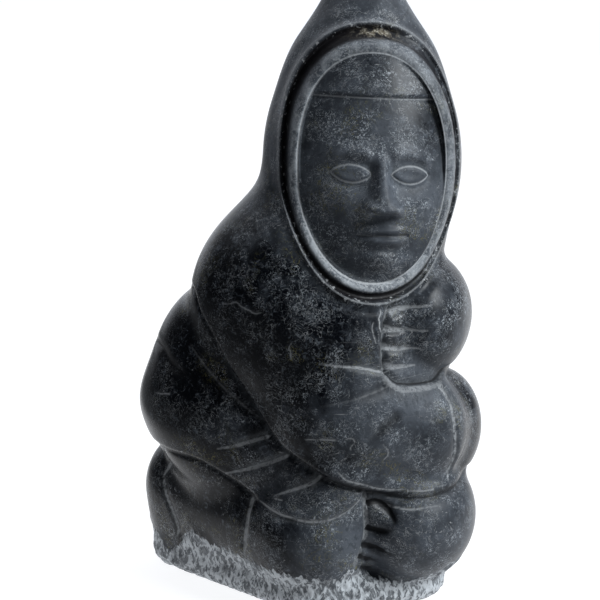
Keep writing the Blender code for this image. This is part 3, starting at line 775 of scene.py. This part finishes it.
def squiggles(size_mm, warp, thin, patch_mm, patch_low):
    """Short pale veins: the thin band where a warped noise crosses its middle, kept in patches."""
    band = near_zero(around_half(cloud(size_mm, 2, 0.6, warp)), thin * 0.4, thin)
    return times(band, step_between(cloud(patch_mm, 3), patch_low, patch_low + 0.1))


veins = squiggles(5.5, 2.2, 0.016, 14, 0.50)
olive = squiggles(7, 2.6, 0.014, 24, 0.54)
curls = squiggles(3.2, 3.0, 0.014, 12, 0.57)
base = tint(times(veins, 0.7), base, VEIN)
base = tint(times(curls, 0.8), base, CURL)
base = tint(times(olive, 0.8), base, OLIVE)


def scratches(turned, level):
    """Thin pale lines: noise stretched far along one direction, kept only at its crests."""
    lines = cloud(0.9, 1, 0.5, 0.0, stretched((0.06, 1, 1), turned))
    patches = step_between(cloud(12, 2, 0.5, 0.0, stretched((1, 1, 1), turned)), 0.54, 0.64)
    return times(step_between(lines, level, level + 0.05), patches)


marks = most(scratches((0.3, 0.4, 0.2), 0.70), scratches((0.1, 1.3, 0.9), 0.71))
base = tint(times(marks, 0.7), base, SCRATCHED)

# dust: in hollows, in the cuts, and as a thin thread along the bottom of each cut; painted shade
# darkens the cuts, and a painted shadow line runs along those that hold no dust
gather = step_between(cloud(2.6, 4, 0.7), 0.30, 0.62)
hollows = times(kept("hollow"), gather)
soft_dust = times(kept("pale"), gather)
lines = [(near_zero(kept(name), 0.18, 0.62), kept(name + "_dust"))
         for name in ("thread_a", "thread_b")]
thread = times(most(*[times(line, dust) for line, dust in lines]), step_between(grit, 0.2, 0.5),
               step_between(gather, 0.1, 0.7, 0.35, 1.0))
painted_shadow_line = most(*[times(line, dust, -1.0) for line, dust in lines])
# painted shade in the cuts
base = tint(times(kept("shade"), 0.72), base, CUT_SHADE)
base = tint(times(hollows, 0.35), base, HOLLOW_DUST)
base = tint(times(soft_dust, 0.65), base, CUT_DUST)
base = tint(times(thread, 0.85), base, THREAD)
# a painted shadow line along the cuts that hold no dust
base = tint(times(painted_shadow_line, 0.9), base, PAINTED_CUT_SHADOW)

# the hood's groove is darkened by a painted shadow, the roll is dull and dusty, with painted light
# low on its left and painted shade towards its top, and the fine lines hold dust
rim, groove, lining = kept("rim"), kept("groove"), kept("lining")
groove_shadow, roll_dust_and_shade, face_skin = kept("groove_shadow"), kept("roll_dust_and_shade"), kept("skin")
roll = times(step_between(groove, 0.6, 2.2), step_between(lining, 0.6, -0.4))
base = tint(times(groove_shadow, 0.95), base, GROOVE_PAINTED_SHADOW)
rubbed = tint(step_between(mottle, 0.38, 0.62), ROLL_WORN, ROLL_RUBBED)
rubbed = tint(times(step_between(grit, 0.5, 0.62), 0.6), rubbed, ROLL_DUST)
base = tint(times(roll, roll_dust_and_shade), base, rubbed)
under_fringe = math_of("ADD", kept("fringe"), 0.7)
fine = most(times(near_zero(rim, 0.1, 0.5), 0.35),
            times(near_zero(lining, 0.15, 0.5), math_of("ADD", roll_dust_and_shade, 0.2)),
            times(near_zero(kept("lids"), 0.15, 0.6), 0.6),
            times(near_zero(under_fringe, 0.1, 0.5), face_skin, 0.45),
            times(near_zero(kept("lips"), 0.1, 0.5), face_skin, 0.3))
fine = times(fine, step_between(grit, 0.15, 0.5))
base = tint(times(fine, 0.85), base, FINE_DUST)
residue = times(kept("residue"), step_between(cloud(2.4, 3, 0.7), 0.42, 0.58))
base = tint(residue, base, tint(step_between(grit, 0.4, 0.7), CRUST_BROWN, CRUST_PALE))
chips = times(near_zero(math_of("ADD", rim, -0.3), 0.9, 2.0),
              step_between(cloud(2.0, 2, 0.6), 0.60, 0.66))
base = tint(chips, base, CHIP)


def marks_leaning(lean):
    """Short marks, a few times as long as wide, that lean from the upright by an angle: noise in
    coordinates that are turned and then drawn out along one of them."""
    made = node("ShaderNodeMapping", vector_type="TEXTURE")
    tree.links.new(place, made.inputs["Vector"])
    made.inputs["Rotation"].default_value = (0, lean, 0)
    made.inputs["Scale"].default_value = (1, 1, 3)
    return step_between(cloud(1.7, 2, 0.6, 0.4, made.outputs["Vector"]), 0.49, 0.58)


# the snow: white-bruised strokes over darker stone, with a ragged upper edge, and fainter strokes
# in the painted shade
strike = times(most(marks_leaning(0.5), marks_leaning(-0.4), times(kept("stroke"), 0.5)),
               step_between(bloom_and_painted_light_at, -0.45, 0.0, 0.6, 1.0))
bruise = tint(strike, UNSTRUCK, BRUISED)
bruise = tint(times(step_between(grit, 0.42, 0.75), 0.5), bruise, STONE_DUST)
bruise = tint(times(step_between(mottle, 0.50, 0.66), 0.6), bruise, DARK_STONE)
ragged = step_between(math_of("ADD", kept("snow"), times(around_half(flecks), 0.5)), 0.3, 0.65)
base = tint(ragged, base, bruise)
tree.links.new(base, shader.inputs["Base Color"])

# how rough: waxed stone is glossy, and each kind of dust, bruise or painted shadow adds its own
# dullness
WAXED_ROUGH, DULL_ROUGH, ROUGHEST = 0.26, 0.48, 0.85
rough = step_between(bloom_and_painted_light, 0.0, 1.0, WAXED_ROUGH, DULL_ROUGH)
for share, more in ((specks, 0.20), (hollows, 0.20), (soft_dust, 0.20), (thread, 0.25),
                    (groove_shadow, 0.02), (roll, 0.12), (residue, 0.25), (ragged, 0.35),
                    (painted_shadow_line, 0.2)):
    rough = math_of("ADD", rough, times(share, more))
rough = math_of("MINIMUM", rough, ROUGHEST)
tree.links.new(rough, shader.inputs["Roughness"])

# fine relief: the grain, and scratches, threads and strokes cut in, with the crust standing up
grain = times(math_of("ADD", times(grit, 0.6), mottle), math_of("ADD", times(ragged, 3.0), 0.3))
relief = math_of("ADD", grain, times(marks, -0.5))
relief = math_of("ADD", relief, times(most(thread, fine), -2.0))
relief = math_of("ADD", relief, times(residue, 2.0))
relief = math_of("ADD", relief, times(strike, ragged, -3.0))
dent = node("ShaderNodeBump")
dent.inputs["Distance"].default_value = 0.0003      # metres
dent.inputs["Strength"].default_value = 0.4
tree.links.new(relief, dent.inputs["Height"])
tree.links.new(dent.outputs["Normal"], shader.inputs["Normal"])

mesh.materials.append(polish)
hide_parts("carved_figure")
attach(carving, "root")


# The studio: one large sheet of pale paper, glowing white round the stone and behind it and falling
# off to grey ahead of it and on its left. A bright wall and ceiling stand behind, the room ahead is
# dim, and one soft box hangs up on the right. These lengths are in metres.

FLOOR = 6.0                     # half the side of the paper
PAPER_GREY = 0.25
PAPER_GLOW = 0.9
floor_mesh = bpy.data.meshes.new("studio_floor")
floor_mesh.from_pydata([(-FLOOR, -FLOOR, 0), (FLOOR, -FLOOR, 0), (FLOOR, FLOOR, 0),
                        (-FLOOR, FLOOR, 0)], [], [(0, 1, 2, 3)])
floor = bpy.data.objects.new("studio_floor", floor_mesh)
bpy.context.collection.objects.link(floor)
paper = bpy.data.materials.new("glowing_paper")
paper.use_nodes = True
tree = paper.node_tree
sheet = tree.nodes["Principled BSDF"]
# the paper itself is grey; its white round the stone is a painted glow, though it is no lamp
sheet.inputs["Base Color"].default_value = (PAPER_GREY, PAPER_GREY, PAPER_GREY, 1)
sheet.inputs["Roughness"].default_value = 0.9
sheet.inputs["Specular IOR Level"].default_value = 0.0
sheet.inputs["Emission Color"].default_value = (0.98, 0.99, 1.01, 1)


def directions(coordinates):
    """The three parts of a kind of coordinates, each on its own."""
    made = node("ShaderNodeSeparateXYZ")
    tree.links.new(node("ShaderNodeTexCoord").outputs[coordinates], made.inputs["Vector"])
    return made.outputs


# the glow's left edge runs outwards towards the back
paper_x, paper_y, _ = directions("Object")
from_left = math_of("ADD", paper_x, times(math_of("MAXIMUM", paper_y, 0.0), 0.22))
glow = times(step_between(from_left, -0.21, -0.13), step_between(paper_y, -0.15, -0.03), PAPER_GLOW)
tree.links.new(glow, sheet.inputs["Emission Strength"])
floor_mesh.materials.append(paper)

lamp = bpy.data.lights.new("right_box", "AREA")
lamp.shape = "DISK"
lamp.size = 0.6
lamp.energy = 17
lamp.color = (0.94, 0.98, 1.0)
soft_box = bpy.data.objects.new("right_box", lamp)
bpy.context.collection.objects.link(soft_box)
soft_box.location = (0.85, -0.45, 0.85)
CHEST = (0, 0, 0.12)
aim = np.array(CHEST) - np.array(soft_box.location)
soft_box.rotation_euler = (math.acos(-aim[2] / np.linalg.norm(aim)), 0,
                           math.atan2(aim[1], aim[0]) - math.pi / 2)

world = bpy.data.worlds.new("bright_studio")
world.use_nodes = True
tree = world.node_tree
room_x, room_y, room_z = directions("Generated")
wall = step_between(room_y, 0.6, 0.95, 0.045, 1.05)
ceiling = times(step_between(room_z, 0.3, 0.8, 0.0, 1.8), step_between(room_y, -0.4, 0.3),
                step_between(room_x, -0.85, -0.35, 0.3, 1.0))
right_wall = step_between(room_x, 0.35, 0.95, 0.0, 0.16)
room = tree.nodes["Background"]
room.inputs["Color"].default_value = (0.96, 1.0, 1.07, 1)
brightness = math_of("ADD", math_of("ADD", wall, ceiling), right_wall)
tree.links.new(brightness, room.inputs["Strength"])
bpy.context.scene.world = world


# The camera stands a little above the figure's chest, straight ahead of it, and looks down on it by
# ten degrees, as the photograph does.

EYE_RISE = math.radians(10)
EYE_REACH = 0.700               # in metres
EYE_AIM = np.array([-4.8, 0, 116.0])        # the middle of the picture, in parts of the height
FILM_WIDTH = 36.0
PICTURE_WIDTH, PICTURE_FOCUS = 600, 1750    # in pixels
aim_at = low + (EYE_AIM - own_low) * (high - low) / (own_high - own_low)
camera = bpy.data.cameras.new("photo_camera")
camera.sensor_width = FILM_WIDTH
camera.lens = FILM_WIDTH * PICTURE_FOCUS / PICTURE_WIDTH
viewer = bpy.data.objects.new("photo_camera", camera)
bpy.context.collection.objects.link(viewer)
viewer.location = aim_at + EYE_REACH * np.array([0, -math.cos(EYE_RISE), math.sin(EYE_RISE)])
viewer.rotation_euler = (math.pi / 2 - EYE_RISE, 0, 0)
bpy.context.scene.camera = viewer
bpy.context.scene.view_settings.view_transform = "Standard"
